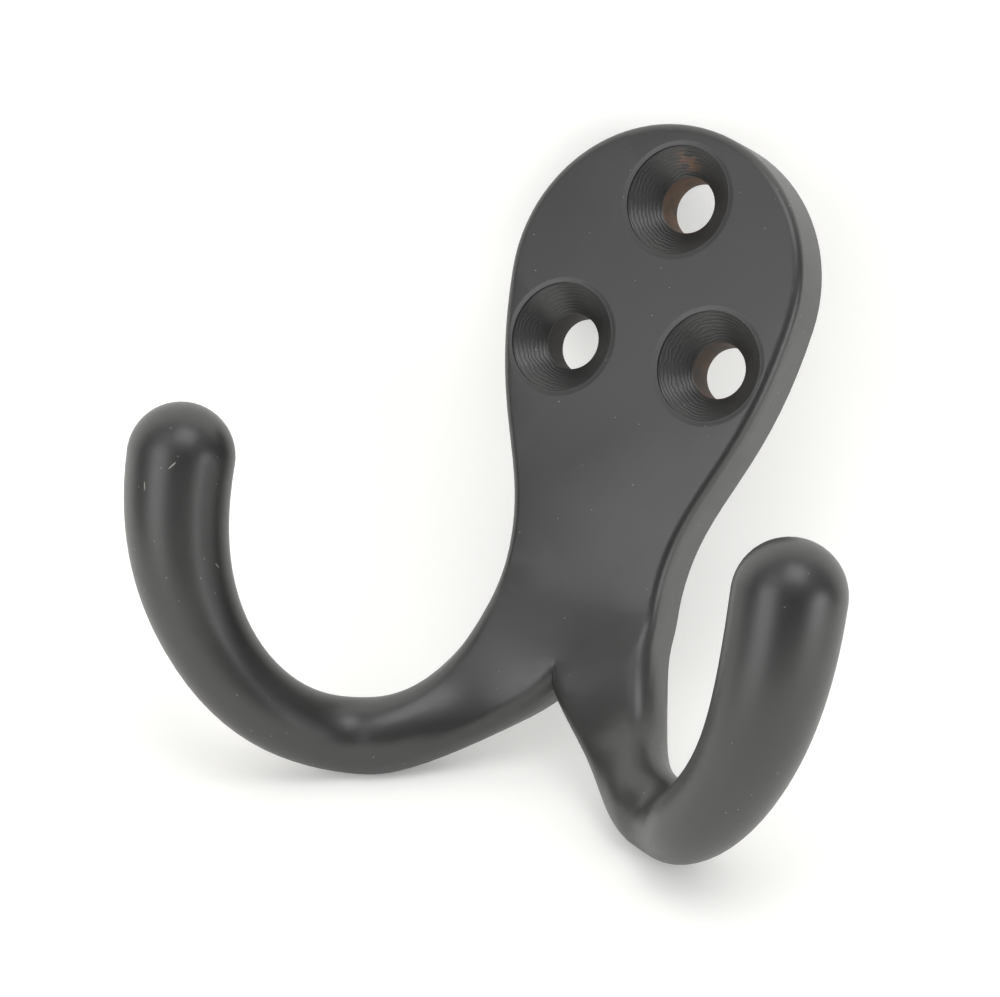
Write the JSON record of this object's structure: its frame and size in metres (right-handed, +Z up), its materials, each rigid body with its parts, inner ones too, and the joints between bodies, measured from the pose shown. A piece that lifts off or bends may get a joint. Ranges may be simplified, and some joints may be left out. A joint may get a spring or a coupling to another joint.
{
  "type": "double robe hook",
  "caption": "Cast wall hook: a rounded plate with countersunk screw holes and a pair of curved arms that sweep down, forward and up to domed tips.",
  "frame": {"origin": "on the back face of the plate, on its middle line, at the height of the two lower screw holes", "axes": "+Y into the wall, +Z up, +X to the right when facing the wall; the arms reach out along -Y"},
  "size_m": [0.061, 0.0284, 0.0563],
  "materials": {
    "satin_black_coat": "satin black coat, slightly textured, worn to brown metal inside the screw holes"
  },
  "bodies": {
    "root": {"robe_hook": "satin_black_coat"}
  },
  "joints": []
}
